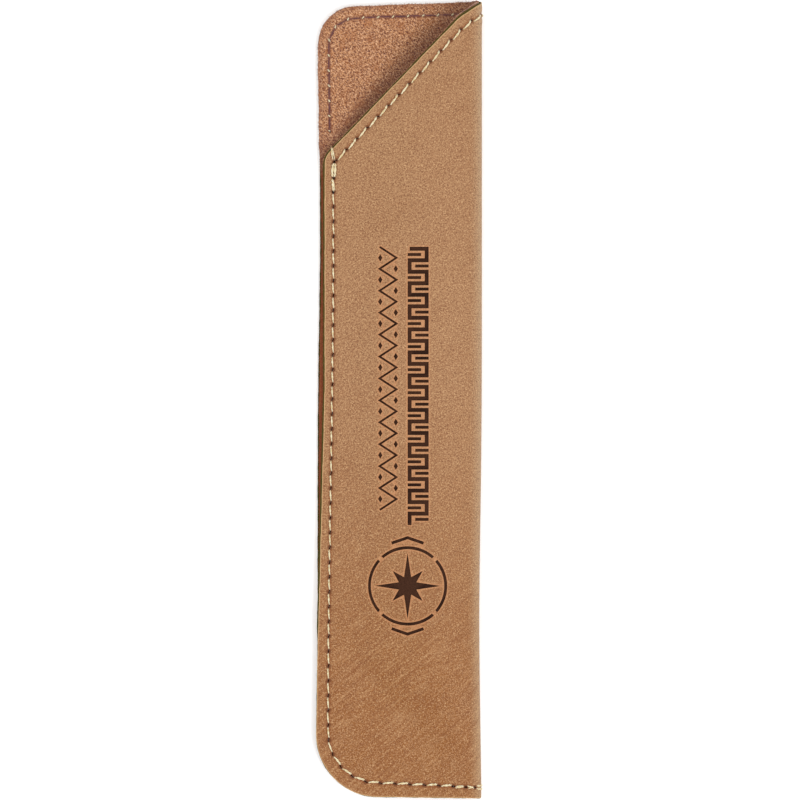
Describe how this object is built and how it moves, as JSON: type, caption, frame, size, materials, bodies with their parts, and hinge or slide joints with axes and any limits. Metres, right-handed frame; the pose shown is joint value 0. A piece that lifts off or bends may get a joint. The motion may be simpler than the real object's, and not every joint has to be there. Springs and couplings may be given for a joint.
{
  "type": "fountain pen case",
  "caption": "Slim sewn leatherette sleeve for one fountain pen, folded from one blank, with a slanted mouth, rounded flap, suede lining and engraved ornament.",
  "frame": {"origin": "centre of the bounding box at the surface the sleeve lies on, back down", "axes": "+Y towards the mouth and flap, +X towards the folded edge, -X the sewn edge, +Z out of the engraved front panel"},
  "size_m": [0.0334, 0.1588, 0.008],
  "materials": {
    "leatherette": "matte fine-grained tan leatherette",
    "core": "dark brown burnt core",
    "suede": "napped tan suede lining",
    "cream_thread": "cream twisted sewing thread",
    "brown_thread": "red-brown twisted sewing thread"
  },
  "bodies": {
    "root": {"outer_leatherette": "leatherette", "dark_core": "core", "suede_lining": "suede", "side_seam_needle_thread": "cream_thread", "side_seam_bobbin_thread": "cream_thread", "mouth_needle_thread": "cream_thread", "mouth_bobbin_thread": "brown_thread", "seam_top_backtack": "cream_thread", "seam_bottom_backtack": "cream_thread"}
  },
  "joints": []
}
